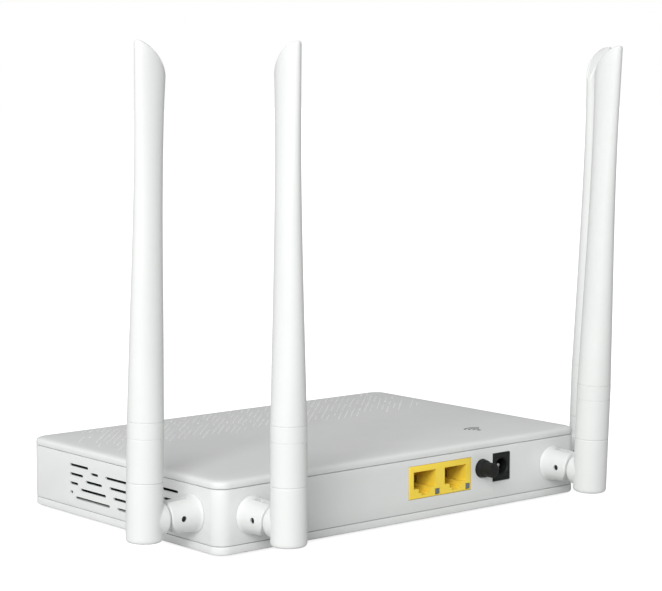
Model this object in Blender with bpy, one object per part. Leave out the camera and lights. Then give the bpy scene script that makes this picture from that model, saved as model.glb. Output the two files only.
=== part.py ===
"""Optical network terminal with four articulated antennas, in metres, +Z up.

The ports face +Y, the lamps face -Y, and the case is centred on the origin with its feet on z = 0.
Each antenna is built in a local frame: +X out of the case wall, +Y along the hinge pin, +Z up.
"""

import math

import bmesh
import bpy
from mathutils import Matrix, Vector

MM = 0.001
GAP = 0.3

CASE_W = 187.0
CASE_D = 126.0
CORNER_R = 5.6
WALL = 2.0
CASE_BOTTOM = 1.2
SEAM_LOW = 4.5
SEAM_HIGH = 25.6
LID_TOP = 29.4
LIP_TOP = 6.5
LIP_BOTTOM = 23.2
FLOOR_TOP = 3.4
CEILING = 27.4

FACE_Y = CASE_D / 2
FACE_X = CASE_W / 2

PCB_X = 76.0
PCB_TOP = 9.6
PCB_THICK = 1.6
SEAT = PCB_TOP + GAP

SCREW_SPOTS = ((83.0, -52.0), (-83.0, -52.0), (83.0, 30.0), (-83.0, 30.0))
FOOT_SPOTS = ((74.0, -46.0), (-74.0, -46.0), (74.0, 46.0), (-74.0, 46.0))
FOOT_R = 6.0
POST_SPOTS = ((60.0, -40.0), (-60.0, -40.0), (60.0, 30.0), (-60.0, 30.0))
KEYHOLE_X = 45.0

VENT_Z = 21.3
VENT_PITCH = 3.65
VENT_HEIGHT = 1.1
VENT_ROWS = 4

PORT_XS = (-7.15, -23.6)
PORT_W = 11.7
PORT_BOTTOM = 13.7
PORT_TOP = 20.5
BLOCK_X = (-32.1, 1.1)
BLOCK_Z = (SEAT, 22.8)
LAMP_X = -6.65

JACK_X = (-53.8, -44.5)
JACK_Z = (11.5, 22.7)
JACK_BORE_Z = 17.2
JACK_BORE_R = 3.1

BUTTON_X = -38.5
BUTTON_Z = 17.6
FIBRE_X = 61.5
FIBRE_Z = 15.8

SIDE_BUTTON_Z = 14.5
WPS_Y = -44.5
RESET_Y = -38.3
LED_XS = tuple(-30.0 + 10.0 * i for i in range(7))
LED_Z = 17.0

KNUCKLE_Z = 14.9
PIN_OUT = 8.3
PIN_R = 1.0
TUBE_OUT = 13.2
TUBE_R = 6.7
TUBE_DROP = 7.8
ANT_LENGTH = 179.4
RADOME_START = 44.0
BARREL_R = 6.4
SLOT_HALF = 1.9
TONGUE_HALF = 1.55
DISC_START = 5.3
ANTENNAS = {
    "a": (FACE_X, 47.0, 0.0, -1.5),
    "b": (78.4, FACE_Y, 90.0, 0.0),
    "c": (-78.4, FACE_Y, 90.0, 2.4),
    "d": (-FACE_X, 47.0, 180.0, 2.1),
}

WHITE = (0.80, 0.81, 0.80)
YELLOW = (0.86, 0.66, 0.08)
BLACK = (0.015, 0.015, 0.016)
GREEN = (0.02, 0.22, 0.07)
STEEL = (0.55, 0.55, 0.56)
GOLD = (0.8, 0.6, 0.25)
GREY = (0.12, 0.12, 0.13)


def clear_scene():
    for obj in list(bpy.data.objects):
        bpy.data.objects.remove(obj, do_unlink=True)


def material(name, colour, roughness, metallic):
    mat = bpy.data.materials.new(name + "_mat")
    mat.use_nodes = True
    shader = mat.node_tree.nodes["Principled BSDF"]
    shader.inputs["Base Color"].default_value = (*colour, 1.0)
    shader.inputs["Roughness"].default_value = roughness
    shader.inputs["Metallic"].default_value = metallic
    return mat


def mesh_object(name, bm):
    bmesh.ops.recalc_face_normals(bm, faces=bm.faces)
    bmesh.ops.scale(bm, vec=(MM, MM, MM), verts=bm.verts)
    mesh = bpy.data.meshes.new(name)
    bm.to_mesh(mesh)
    bm.free()
    obj = bpy.data.objects.new(name, mesh)
    bpy.context.scene.collection.objects.link(obj)
    return obj


def add_loft(bm, rings):
    loops = [[bm.verts.new(p) for p in ring] for ring in rings]
    count = len(loops[0])
    for low, high in zip(loops, loops[1:]):
        for i in range(count):
            j = (i + 1) % count
            bm.faces.new((low[i], low[j], high[j], high[i]))
    bm.faces.new(loops[0][::-1])
    bm.faces.new(loops[-1])


def loft(name, rings):
    bm = bmesh.new()
    add_loft(bm, rings)
    return mesh_object(name, bm)


def add_box(bm, x, y, z):
    ring = ((x[0], y[0]), (x[1], y[0]), (x[1], y[1]), (x[0], y[1]))
    add_loft(bm, [[(p[0], p[1], h) for p in ring] for h in z])


def box(name, x, y, z):
    return boxes(name, [(x, y, z)])


def boxes(name, spans):
    bm = bmesh.new()
    for x, y, z in spans:
        add_box(bm, x, y, z)
    return mesh_object(name, bm)


def circle(radius, count):
    turn = 2 * math.pi / count
    return [(radius * math.cos(turn * (i + 0.5)), radius * math.sin(turn * (i + 0.5))) for i in range(count)]


def along(axis, at, u, v):
    """The point at distance `at` along an axis, with u and v across it."""
    return {"x": (at, u, v), "y": (v, at, u), "z": (u, v, at)}[axis]


def add_turned(bm, axis, centre, profile, count):
    """A solid turned about an axis through centre. The profile is (distance along, radius) pairs."""
    rings = []
    for at, radius in profile:
        ring = [along(axis, at, u, v) for u, v in circle(radius, count)]
        rings.append([tuple(c + p for c, p in zip(centre, point)) for point in ring])
    add_loft(bm, rings)


def turned(name, axis, centre, profile, count=16):
    bm = bmesh.new()
    add_turned(bm, axis, centre, profile, count)
    return mesh_object(name, bm)


def rods(name, axis, spots, span, radius, count=10):
    bm = bmesh.new()
    for spot in spots:
        add_turned(bm, axis, spot, [(span[0], radius), (span[1], radius)], count)
    return mesh_object(name, bm)


def plan_ring(inset, z, steps=4):
    """The case outline in plan, moved in by inset, at height z."""
    radius = max(CORNER_R - inset, 0.8)
    x = FACE_X - inset - radius
    y = FACE_Y - inset - radius
    ring = []
    for quarter, (cx, cy) in enumerate(((x, y), (-x, y), (-x, -y), (x, -y))):
        for i in range(steps + 1):
            angle = math.radians(90 * quarter + 90 * i / steps)
            ring.append((cx + radius * math.cos(angle), cy + radius * math.sin(angle), z))
    return ring


def prism(name, inset, low, high):
    return loft(name, [plan_ring(inset, low), plan_ring(inset, high)])


def boolean(obj, other, operation):
    other.hide_render = True
    other.display_type = "WIRE"
    step = obj.modifiers.new(operation.lower(), "BOOLEAN")
    step.operation = operation
    step.solver = "EXACT"
    step.object = other
    return obj


def cut(obj, *cutters):
    for cutter in cutters:
        boolean(obj, cutter, "DIFFERENCE")
    return obj


def fuse(obj, *others):
    for other in others:
        boolean(obj, other, "UNION")
    return obj


def finish(obj, colour, roughness=0.45, metallic=0.0, smooth=False):
    obj.data.materials.clear()
    obj.data.materials.append(material(obj.name, colour, roughness, metallic))
    for face in obj.data.polygons:
        face.use_smooth = smooth
    return obj


def vent_spans():
    """(start, end, row height) of each side slot: aligned ends at both sides, triangles between."""
    spans = []
    middle = 1.8
    for row in range(VENT_ROWS):
        whole = VENT_Z - VENT_PITCH * row
        half = whole - VENT_PITCH / 2
        spans.append((-34.5, -21.6 - 3.6 * row, whole))
        spans.append((-19.8 - 3.65 * row, -14.7 + 2.65 * row, half))
        spans.append((-9.7 + 2.65 * row, 2 * middle + 9.7 - 2.65 * row, half))
        spans.append((2 * middle + 14.7 - 2.65 * row, 2 * middle + 19.8 + 3.65 * row, half))
        spans.append((2 * middle + 21.6 + 3.6 * row, 2 * middle + 34.5, whole))
    return spans


def vent_cutter(name, side):
    high = VENT_HEIGHT / 2
    across = sorted((side * (FACE_X - WALL - 1), side * (FACE_X + 1)))
    return boxes(name, [(across, (a, b), (z - high, z + high)) for a, b, z in vent_spans()])


def knuckle_holes(name, radius):
    bm = bmesh.new()
    for x, y, turn, _lean in ANTENNAS.values():
        axis = "y" if turn == 90.0 else "x"
        sign = -1 if turn == 180.0 else 1
        centre = (0, y, KNUCKLE_Z) if axis == "x" else (x, 0, KNUCKLE_Z)
        face = FACE_X if axis == "x" else FACE_Y
        span = sorted((sign * (face - WALL - 1), sign * (face + 1)))
        add_turned(bm, axis, centre, [(s, radius) for s in span], 16)
    return mesh_object(name, bm)


def build_band():
    band = prism("mid_band", 0.0, SEAM_LOW + GAP / 2, SEAM_HIGH - GAP / 2)
    cut(band, prism("band_core", WALL, 0.0, 30.0))
    y = (FACE_Y - WALL - 1, FACE_Y + 1)
    ports = [
        ((BLOCK_X[0] - GAP, BLOCK_X[1] + GAP), y, (BLOCK_Z[0] - GAP, BLOCK_Z[1] + GAP)),
        ((JACK_X[0] - GAP, JACK_X[1] + GAP), y, (JACK_Z[0] - GAP, JACK_Z[1] + GAP)),
        ((FIBRE_X - 5.3, FIBRE_X + 5.3), y, (FIBRE_Z - 5.0, FIBRE_Z + 5.0)),
    ]
    cut(band, boxes("band_ports", ports))
    hole = rods("band_button_hole", "y", [(BUTTON_X, 0, BUTTON_Z)], y, 3.9, 16)
    front = (-FACE_Y - 1, -FACE_Y + WALL + 1)
    leds = rods("band_led_holes", "y", [(x, 0, LED_Z) for x in LED_XS], front, 1.3, 8)
    x = (-FACE_X - 1, -FACE_X + WALL + 1)
    wps = rods("band_wps_hole", "x", [(0, WPS_Y, SIDE_BUTTON_Z)], x, 2.6, 12)
    reset = rods("band_reset_hole", "x", [(0, RESET_Y, SIDE_BUTTON_Z)], x, 1.35, 8)
    cut(band, hole, leds, wps, reset, knuckle_holes("band_knuckle_holes", 4.7))
    cut(band, vent_cutter("band_vents_right", 1), vent_cutter("band_vents_left", -1))
    return finish(band, WHITE)


def build_lid():
    low = SEAM_HIGH + GAP / 2
    rim = ((0.0, low), (0.0, 27.3), (0.35, 28.2), (1.2, 28.8))
    steps = rim + ((3.0, 29.0), (12.0, LID_TOP - 0.15), (30.0, LID_TOP))
    lid = loft("lid", [plan_ring(inset, z) for inset, z in steps])
    fuse(lid, prism("lid_lip", WALL + GAP, LIP_BOTTOM, low + 0.5))
    cut(lid, prism("lid_core", WALL + GAP + 1.5, 20.0, CEILING))
    spots = [(x, y, 0) for x, y in SCREW_SPOTS]
    fuse(lid, rods("lid_bosses", "z", spots, (12.2, CEILING + 0.5), 3.5))
    cut(lid, rods("lid_pilots", "z", spots, (12.0, 22.0), 1.75, 8))
    return finish(lid, WHITE)


def bottom_vents(name):
    spans = []
    for row in range(4):
        y = -22.0 + 11.0 * row
        for x in (-24.0, 3.0):
            spans.append(((x, x + 21.0), (y, y + 2.5), (0.0, 5.0)))
    return boxes(name, spans)


def keyholes(name):
    bm = bmesh.new()
    for x in (-KEYHOLE_X, KEYHOLE_X):
        add_turned(bm, "z", (x, -12.0, 0), [(0.0, 4.2), (5.0, 4.2)], 14)
    slots = mesh_object(name, bm)
    spans = [((x - 2.1, x + 2.1), (-12.0, -3.0), (0.0, 5.0)) for x in (-KEYHOLE_X, KEYHOLE_X)]
    return slots, boxes(name + "_necks", spans)


def build_base():
    steps = ((0.6, CASE_BOTTOM), (0.0, CASE_BOTTOM + 0.6), (0.0, SEAM_LOW - GAP / 2))
    base = loft("base", [plan_ring(inset, z) for inset, z in steps])
    fuse(base, prism("base_lip", WALL + GAP, 3.0, LIP_TOP))
    cut(base, prism("base_core", WALL + GAP + 1.5, FLOOR_TOP, 8.0))
    spots = [(x, y, 0) for x, y in SCREW_SPOTS]
    posts = [(x, y, 0) for x, y in POST_SPOTS]
    fuse(base, rods("base_pillars", "z", spots, (3.0, 11.9), 3.5))
    fuse(base, rods("base_posts", "z", posts, (3.0, 7.7), 3.0, 8))
    cut(base, rods("base_screw_holes", "z", spots, (0.0, 13.0), 1.75, 8))
    cut(base, rods("base_counterbores", "z", spots, (0.0, 3.6), 3.1))
    feet = [(x, y, 0) for x, y in FOOT_SPOTS]
    cut(base, rods("base_foot_seats", "z", feet, (0.0, 1.8), FOOT_R + GAP, 16))
    cut(base, bottom_vents("base_vents"), *keyholes("base_keyholes"))
    return finish(base, WHITE)


def build_fasteners():
    for number, (x, y) in enumerate(FOOT_SPOTS, 1):
        profile = [(0.0, FOOT_R - 0.4), (0.4, FOOT_R), (1.5, FOOT_R)]
        finish(turned(f"foot_{number}", "z", (x, y, 0), profile), GREY, 0.8, smooth=True)
    for number, (x, y) in enumerate(SCREW_SPOTS, 1):
        profile = [(1.7, 2.7), (3.3, 2.7), (3.3, 1.35), (17.0, 1.35), (17.6, 0.7)]
        finish(turned(f"case_screw_{number}", "z", (x, y, 0), profile, 10), STEEL, 0.35, 1.0)


def build_ports():
    y = (46.0, FACE_Y + 0.3)
    block = box("rj45_block", BLOCK_X, y, BLOCK_Z)
    front = (50.5, FACE_Y + 2)
    cavities = []
    for x in PORT_XS:
        cavities.append(((x - PORT_W / 2, x + PORT_W / 2), front, (PORT_BOTTOM, PORT_TOP)))
    cut(block, boxes("rj45_cavities", cavities))
    cut(block, boxes("rj45_latches", [((x - 3.2, x + 3.2), front, (12.0, PORT_BOTTOM + 0.5)) for x in PORT_XS]))
    cut(block, boxes("rj45_keys", [((x - 1.7, x + 1.7), front, (11.0, 12.5)) for x in PORT_XS]))
    lamp = [((x + LAMP_X - 1.6, x + LAMP_X + 1.0), (59.0, FACE_Y + 2), (10.3, 12.7)) for x in PORT_XS]
    cut(block, boxes("rj45_lamp_seats", lamp))
    finish(block, YELLOW, 0.4)
    for number, x in enumerate(PORT_XS, 1):
        span = (x + LAMP_X - 1.3, x + LAMP_X + 0.7)
        finish(box(f"rj45_lamp_{number}", span, (59.4, FACE_Y + 0.1), (10.6, 12.4)), (0.2, 0.25, 0.3), 0.2)
    jack = box("dc_jack", JACK_X, (49.0, FACE_Y + 0.4), JACK_Z)
    middle = (JACK_X[0] + JACK_X[1]) / 2
    fuse(jack, box("jack_foot", JACK_X, (49.0, FACE_Y - WALL - 1), (SEAT, JACK_Z[0] + 1)))
    cut(jack, rods("jack_bore", "y", [(middle, 0, JACK_BORE_Z)], (53.5, FACE_Y + 2), JACK_BORE_R, 20))
    cut(jack, rods("jack_pin_seat", "y", [(middle, 0, JACK_BORE_Z)], (51.0, 54.0), 1.4, 8))
    finish(jack, BLACK, 0.35)
    profile = [(51.3, 1.05), (60.6, 1.05), (61.4, 0.6)]
    finish(turned("dc_pin", "y", (middle, 0, JACK_BORE_Z), profile, 8), STEEL, 0.25, 1.0)


def build_power_switch():
    x = (BUTTON_X - 4.0, BUTTON_X + 4.0)
    body = box("power_switch", x, (42.0, 54.0), (SEAT, 21.6))
    cut(body, rods("switch_pocket", "y", [(BUTTON_X, 0, BUTTON_Z)], (46.5, 56.0), 1.9, 10))
    finish(body, BLACK, 0.4)
    profile = [(49.5, 1.5), (57.0, 1.5), (57.0, 3.45), (65.3, 3.45), (65.9, 2.95), (69.5, 2.95), (70.0, 2.5)]
    button = turned("power_button", "y", (0, 0, 0), [(at - 70.0, r) for at, r in profile])
    button.location = Vector((BUTTON_X, 70.0, BUTTON_Z)) * MM
    finish(button, BLACK, 0.35, smooth=True)


def build_fibre_port():
    def square(name, half_x, y, half_z):
        across = (FIBRE_X - half_x, FIBRE_X + half_x)
        return box(name, across, y, (FIBRE_Z - half_z, FIBRE_Z + half_z))

    adapter = square("sc_adapter", 5.0, (38.0, FACE_Y), 4.7)
    cut(adapter, square("sc_bore", 3.9, (50.0, FACE_Y + 2), 3.7))
    cut(adapter, rods("sc_throat", "y", [(FIBRE_X, 0, FIBRE_Z)], (37.0, 51.0), 1.4, 8))
    finish(adapter, GREEN, 0.4)
    cap = square("sc_dust_cap", 3.5, (53.0, FACE_Y + 1.0), 3.3)
    fuse(cap, square("cap_head", 4.6, (FACE_Y + 0.3, FACE_Y + 2.4), 4.3))
    finish(cap, (0.05, 0.3, 0.12), 0.5)
    profile = [(14.0, 2.6), (26.0, 2.6), (26.0, 3.4), (36.8, 3.4)]
    module = turned("optical_module", "y", (FIBRE_X, 0, FIBRE_Z), profile, 12)
    fuse(module, rods("module_receiver", "x", [(0, 20.0, FIBRE_Z)], (52.0, FIBRE_X), 2.3, 10))
    cut(module, rods("module_bore", "y", [(FIBRE_X, 0, FIBRE_Z)], (30.0, 38.0), 1.3, 8))
    finish(module, GOLD, 0.3, 1.0)


def build_board():
    board = box("pcb", (-PCB_X, PCB_X), (-56.0, 57.0), (PCB_TOP - PCB_THICK, PCB_TOP))
    holes = [(x, y, 0) for x, y in POST_SPOTS]
    cut(board, rods("pcb_holes", "z", holes, (5.0, 12.0), 1.4, 8))
    finish(board, (0.03, 0.2, 0.08), 0.5)
    finish(box("processor", (-12, 12), (-14, 10), (SEAT, 11.4)), BLACK, 0.4)
    sink = box("heatsink", (-15, 15), (-17, 13), (11.7, 14.0))
    fins = [((x - 0.75, x + 0.75), (-16.5, 12.5), (13.5, 20.0)) for x in (-14.0 + 4.0 * i for i in range(8))]
    finish(fuse(sink, boxes("sink_fins", fins)), STEEL, 0.4, 1.0)
    can = box("radio_shield", (28, 56), (-30, -4), (SEAT, 13.2))
    cut(can, box("radio_shield_core", (28.4, 55.6), (-29.6, -4.4), (8.0, 12.8)))
    finish(can, STEEL, 0.35, 1.0)
    finish(box("magnetics", (-26, -5), (32, 43), (SEAT, 15.0)), BLACK, 0.5)
    for number, x in enumerate((-66.0, -54.0), 1):
        profile = [(SEAT, 4.0), (20.4, 4.0), (21.0, 3.4)]
        finish(turned(f"capacitor_{number}", "z", (x, 8.0, 0), profile, 16), GREY, 0.3, smooth=True)


def build_lamps_and_side_buttons():
    guide = box("light_guide", (-34.0, 34.0), (-60.5, -58.5), (LED_Z - 2.0, LED_Z + 2.0))
    pegs = [(x, 0, LED_Z) for x in LED_XS]
    fuse(guide, rods("guide_pegs", "y", pegs, (-FACE_Y - 0.2, -59.5), 0.85, 6))
    fuse(guide, boxes("guide_legs", [((x - 1, x + 1), (-60.5, -58.5), (7.0, LED_Z)) for x in (-32.0, 32.0)]))
    finish(guide, (0.75, 0.8, 0.85), 0.2)
    wps = [(-94.3, 2.0), (-93.9, 2.2), (-90.6, 2.2), (-90.6, 1.0), (-80.0, 1.0)]
    reset = [(-93.0, 0.95), (-80.0, 0.95)]
    for name, y, profile in (("wps_button", WPS_Y, wps), ("reset_button", RESET_Y, reset)):
        button = turned(name, "x", (0, 0, 0), [(at - profile[0][0], r) for at, r in profile], 12)
        button.location = Vector((profile[0][0], y, SIDE_BUTTON_Z)) * MM
        finish(button, WHITE, 0.4)
    for name, y in (("wps_switch", WPS_Y), ("reset_switch", RESET_Y)):
        finish(box(name, (-78.8, -73.5), (y - 2.6, y + 2.6), (SEAT, 17.4)), BLACK, 0.5)


def smooth_path(points, steps=3):
    """Catmull-Rom through the points, with the two ends repeated."""
    ends = [points[0], *points, points[-1]]
    path = []
    for p0, p1, p2, p3 in zip(ends, ends[1:], ends[2:], ends[3:]):
        a, b, c, d = (Vector(p) for p in (p0, p1, p2, p3))
        for i in range(steps):
            t = i / steps
            square = 2 * a - 5 * b + 4 * c - d
            cube = 3 * b - a - 3 * c + d
            path.append(0.5 * (2 * b + (c - a) * t + square * t**2 + cube * t**3))
    return [*path, Vector(points[-1])]


def build_coax(name, points):
    curve = bpy.data.curves.new(name, "CURVE")
    curve.dimensions = "3D"
    curve.bevel_depth = 0.65 * MM
    curve.bevel_resolution = 0
    curve.use_fill_caps = True
    path = smooth_path(points)
    spline = curve.splines.new("POLY")
    spline.points.add(len(path) - 1)
    for point, at in zip(spline.points, path):
        point.co = (*(at * MM), 1.0)
    obj = bpy.data.objects.new(name, curve)
    bpy.context.scene.collection.objects.link(obj)
    curve.materials.append(material(name, GREY, 0.5, 0.0))


def build_all_coax():
    z = KNUCKLE_Z
    side = [(68, 32, 10.6), (72, 36, 12.5), (80, 44, z), (86, 47, z), (92, 47, z)]
    back = [(70, 48, 10.6), (73, 48.6, 12.8), (77, 51.5, z), (78.4, 56, z), (78.4, 61.5, z)]
    for name, path, sign in (("a", side, 1), ("b", back, 1), ("c", back, -1), ("d", side, -1)):
        build_coax(f"coax_{name}", [(sign * x, y, h) for x, y, h in path])


def section(width, thick, height_of, count=18):
    """An oval ring about the antenna's own axis. height_of takes the outward share, from -1 to 1."""
    ring = []
    for u, v in circle(1.0, count):
        ring.append((TUBE_OUT + u * width / 2, v * thick / 2, height_of(u) - TUBE_DROP))
    return ring


def tip_height(u):
    """The slanted crown: level at the outer edge and steeper towards the case."""
    inward = max((1.0 - u) / 2, 0.0)
    curl = 1.0 - math.sqrt(max(1.0 - inward * inward, 0.0))
    return ANT_LENGTH - 6.4 * inward**1.3 - 7.2 * curl


BLADE = (
    (RADOME_START + 0.3, 13.4, 13.2),
    (54.0, 13.3, 12.2),
    (84.0, 12.7, 9.9),
    (114.0, 11.4, 8.6),
    (138.0, 11.4, 7.3),
    (158.0, 12.1, 6.7),
)


def build_radome(name):
    rings = [section(w, t, lambda u, h=h: h) for h, w, t in BLADE]
    rings.append(section(12.7, 6.5, lambda u: 158.0 + 0.6 * (tip_height(u) - 158.0)))
    rings.append(section(13.0, 6.4, lambda u: tip_height(u) - 0.7))
    rings.append(section(12.0, 5.4, lambda u: tip_height(u)))
    radome = loft(name, rings)
    inner = [section(11.0, 11.0, lambda u: RADOME_START - 1.0), section(11.0, 10.6, lambda u: 54.0)]
    inner += [section(w - 2.4, t - 2.4, lambda u, h=h: h) for h, w, t in BLADE[2:]]
    return cut(radome, loft(name + "_core", inner))


def build_tube(name):
    steps = ((0.0, TUBE_R - 0.9), (0.3, TUBE_R - 0.3), (1.0, TUBE_R), (RADOME_START, TUBE_R))
    top = ((RADOME_START, 5.2), (RADOME_START + 6.0, 5.2))
    tube = loft(name, [section(2 * r, 2 * r, lambda u, h=h: h) for h, r in steps + top])
    disc = [(DISC_START, 5.6), (DISC_START + 0.6, 6.3), (TUBE_OUT, 6.3)]
    fuse(tube, turned(name + "_disc", "x", (0, 0, 0), disc))
    tongue = turned(name + "_tongue", "y", (0, 0, 0), [(-TONGUE_HALF, 4.2), (TONGUE_HALF, 4.2)])
    bar = box(name + "_bar", (0.0, DISC_START + 1.5), (-TONGUE_HALF, TONGUE_HALF), (-4.1, 4.1))
    fuse(tube, fuse(tongue, bar))
    cut(tube, rods(name + "_hole", "y", [(0, 0, 0)], (-3.0, 3.0), PIN_R + GAP, 10))
    seat = section(2.8, 2.8, lambda u: RADOME_START - 2.0, 8)
    return cut(tube, loft(name + "_seat", [seat, section(2.8, 2.8, lambda u: RADOME_START + 9.0, 8)]))


def knuckle_outline(name):
    """The side view that trims the barrel: full height above the pin, and rounded off below it."""
    points = [(-20.0, 8.45), (1.45, 8.45), (4.3, 5.6), (4.75, 4.4), (4.9, 3.0), (4.9, 0.0), (4.73, -1.27)]
    points += [(4.24, -2.45), (3.46, -3.46), (2.81, -4.01), (1.2, -5.3), (-3.0, -8.45), (-20.0, -8.45)]
    return loft(name, [[(PIN_OUT + n, y, z) for n, z in points] for y in (-8.0, 8.0)])


def build_knuckle(name):
    collar = [(-3.5, 5.5), (-2.3, 5.5), (-2.3, 4.2), (0.3, 4.2)]
    barrel = [(0.3, 6.4), (0.9, 6.7), (3.0, 6.7), (PIN_OUT, BARREL_R), (PIN_OUT + 6.0, BARREL_R)]
    knuckle = turned(name, "x", (0, 0, 0), collar + barrel, 20)
    boolean(knuckle, knuckle_outline(name + "_outline"), "INTERSECT")
    cut(knuckle, box(name + "_slot", (3.4, 15.0), (-SLOT_HALF, SLOT_HALF), (-9.0, 9.0)))
    cut(knuckle, rods(name + "_pin_hole", "y", [(PIN_OUT, 0, 0)], (-9.0, 9.0), PIN_R + GAP, 10))
    return cut(knuckle, rods(name + "_bore", "x", [(0, 0, 0)], (-5.0, 5.0), 1.6, 8))


def hinge_empty(name, matrix, parent=None):
    empty = bpy.data.objects.new(name, None)
    bpy.context.scene.collection.objects.link(empty)
    empty.parent = parent
    empty.matrix_basis = matrix
    return empty


def build_antenna(key, x, y, turn, lean):
    place = Matrix.Translation(Vector((x, y, KNUCKLE_Z)) * MM) @ Matrix.Rotation(math.radians(turn), 4, "Z")
    swivel = hinge_empty(f"swivel_{key}", place)
    out = Matrix.Translation(Vector((PIN_OUT, 0, 0)) * MM)
    tilt = hinge_empty(f"tilt_{key}", out @ Matrix.Rotation(math.radians(lean), 4, "Y"), swivel)
    knuckle = finish(build_knuckle(f"ant_{key}_knuckle"), WHITE, 0.4)
    pin = turned(f"ant_{key}_pin", "y", (PIN_OUT, 0, 0), [(-6.1, PIN_R), (6.1, PIN_R)], 10)
    finish(pin, BLACK, 0.4, smooth=True)
    tube = finish(build_tube(f"ant_{key}_tube"), WHITE, 0.4, smooth=True)
    radome = finish(build_radome(f"ant_{key}_radome"), WHITE, 0.4, smooth=True)
    rod = [section(2.0, 2.0, lambda u, h=h: h, 8) for h in (RADOME_START - 1.7, 140.0)]
    radiator = finish(loft(f"ant_{key}_radiator", rod), GOLD, 0.3, 1.0, True)
    for obj in (knuckle, pin):
        parent_tree(obj, swivel)
    for obj in (tube, radome, radiator):
        parent_tree(obj, tilt)


def parent_tree(obj, parent):
    """Parents an object and every cutter its modifiers use, so that they move as one."""
    if obj.parent is not None:
        return
    obj.parent = parent
    for step in obj.modifiers:
        parent_tree(step.object, parent)


def main():
    clear_scene()
    build_lid()
    build_band()
    build_base()
    build_fasteners()
    build_ports()
    build_power_switch()
    build_fibre_port()
    build_board()
    build_lamps_and_side_buttons()
    build_all_coax()
    for key, (x, y, turn, lean) in ANTENNAS.items():
        build_antenna(key, x, y, turn, lean)


main()
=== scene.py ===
"""Looks of the optical network terminal: pieces, materials, light and camera.

Lengths are millimetres, and new_mesh() turns them into metres."""

import math
import random

import bmesh
import bpy
from mathutils import Matrix, Vector


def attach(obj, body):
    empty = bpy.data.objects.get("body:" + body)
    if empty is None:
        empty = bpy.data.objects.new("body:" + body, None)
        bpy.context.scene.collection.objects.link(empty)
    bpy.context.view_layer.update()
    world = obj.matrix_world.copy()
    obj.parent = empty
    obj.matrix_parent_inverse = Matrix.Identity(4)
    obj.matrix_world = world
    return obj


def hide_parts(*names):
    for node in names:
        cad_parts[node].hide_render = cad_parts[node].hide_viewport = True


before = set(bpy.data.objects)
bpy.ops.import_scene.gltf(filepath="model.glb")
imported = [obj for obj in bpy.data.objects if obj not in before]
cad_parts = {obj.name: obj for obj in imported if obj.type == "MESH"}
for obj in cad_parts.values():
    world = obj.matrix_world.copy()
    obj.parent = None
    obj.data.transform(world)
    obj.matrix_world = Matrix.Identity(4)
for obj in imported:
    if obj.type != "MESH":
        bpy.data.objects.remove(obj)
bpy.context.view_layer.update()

MM = 0.001
CASE_W = 187.0
CASE_D = 126.0
CORNER_R = 5.6
CORNER_STEPS = 14
WALL = 2.0
FACE_X = CASE_W / 2
FACE_Y = CASE_D / 2
CASE_BOTTOM = 1.2
SEAM_LOW = 4.5
SEAM_HIGH = 25.6
LID_TOP = 29.4
SEAM_GAP = 0.12

# Inset and distance from the seam, for the small round on a moulded edge.
SEAM_EDGE = ((0.25, 0.0), (0.07, 0.08), (0.0, 0.28))

# Inset from the lid's edge and height there.
LID_CROWN = (
    (2.6, 28.76),
    (4.5, 28.91),
    (8.0, 29.06),
    (14.0, 29.2),
    (24.0, 29.31),
    (38.0, LID_TOP),
    (99.0, LID_TOP),
)

KNUCKLE_Z = 14.9
PIN_OUT = 8.3
TUBE_OUT = 13.2
TUBE_R = 6.7
TUBE_DROP = 7.8
ANT_LENGTH = 179.4
SLEEVE_START = 22.0
COLLAR_START = 38.0
RADOME_START = 44.0
BARREL_R = 6.4
SPIGOT_R = 5.2
TIP_START = 158.0

# Knuckle's place on the wall, the way it faces and the antenna's lean, in degrees.
ANTENNAS = {
    "a": (FACE_X, 47.0, 0.0, -1.5),
    "b": (78.4, FACE_Y, 90.0, 0.0),
    "c": (-78.4, FACE_Y, 90.0, 2.4),
    "d": (-FACE_X, 47.0, 180.0, 2.1),
}

# Height along the antenna, width and thickness.
BLADE = (
    (RADOME_START + 0.02, 13.3, 13.1),
    (RADOME_START + 0.12, 13.38, 13.18),
    (RADOME_START + 0.5, 13.38, 13.15),
    (54.0, 13.3, 12.2),
    (69.0, 13.1, 11.0),
    (84.0, 12.7, 9.9),
    (99.0, 12.0, 9.2),
    (114.0, 11.45, 8.6),
    (126.0, 11.3, 8.0),
    (138.0, 11.4, 7.3),
    (148.0, 11.7, 6.95),
    (TIP_START, 12.1, 6.7),
)

BLOCK_X = (-32.1, 1.1)
SOCKET_XS = (-7.15, -23.6)
JACK_X = (-53.8, -44.5)
JACK_Z = 17.2
BUTTON_X, BUTTON_Z = -38.5, 17.6
FIBRE_X, FIBRE_Z = 61.5, 15.8
WPS_Y, RESET_Y, SIDE_BUTTON_Z = -44.5, -38.3, 14.5
CONTACT_PITCH = 1.02
LED_XS = tuple(-30.0 + 10.0 * i for i in range(7))
LED_Z = 17.0
MARK_X, MARK_Y = -53.0, 46.0
SCREW_SPOTS = [(x, y, 0) for y in (-52.0, 30.0) for x in (83.0, -83.0)]
FOOT_SPOTS = [(x, y, 0) for y in (-46.0, 46.0) for x in (74.0, -74.0)]
KEYHOLE_XS = (-45.0, 45.0)
KEYHOLE_Y = -12.0
VENT_ROWS = 4
VENT_TOP = 21.3
VENT_PITCH = 3.65
VENT_R = 0.55
STROKE_COLUMNS = 64
STROKE_PITCH = 3.4
STROKE_REACH = 87.0
STROKE_RISE = 0.1
DIAGONAL = 0.707


# ---------------------------------------------------------------- mesh code


def new_mesh(name, bm):
    bmesh.ops.recalc_face_normals(bm, faces=bm.faces)
    bmesh.ops.scale(bm, vec=(MM, MM, MM), verts=bm.verts)
    mesh = bpy.data.meshes.new(name)
    bm.to_mesh(mesh)
    bm.free()
    return mesh


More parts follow.
